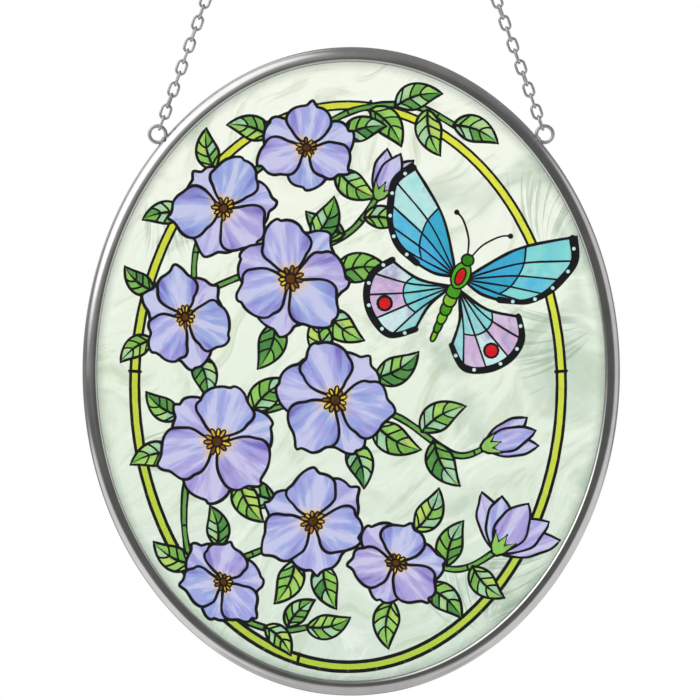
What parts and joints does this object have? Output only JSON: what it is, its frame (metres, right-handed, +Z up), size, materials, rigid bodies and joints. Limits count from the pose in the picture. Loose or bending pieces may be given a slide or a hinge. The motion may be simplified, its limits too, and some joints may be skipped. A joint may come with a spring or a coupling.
{
  "type": "suncatcher",
  "caption": "Oval painted-glass suncatcher in a polished metal rim, hung by two legs of fine cable chain from one ring.",
  "frame": {"origin": "inside the top of the hanging ring, where a hook bears", "axes": "+Z up, +X to the right of someone facing the painted side, the painted side faces -Y"},
  "size_m": [0.1684, 0.0056, 0.3507],
  "materials": {
    "painted_glass": "clear float glass with translucent coloured enamels and black outlines on its front",
    "rim_metal": "polished nickel plate",
    "wire_metal": "bright plated steel wire"
  },
  "bodies": {
    "root": {"glass_pane": "painted_glass", "metal_rim": "rim_metal", "left_loop": "wire_metal", "right_loop": "wire_metal", "left_chain": "wire_metal", "right_chain": "wire_metal", "hanging_ring": "wire_metal"}
  },
  "joints": []
}
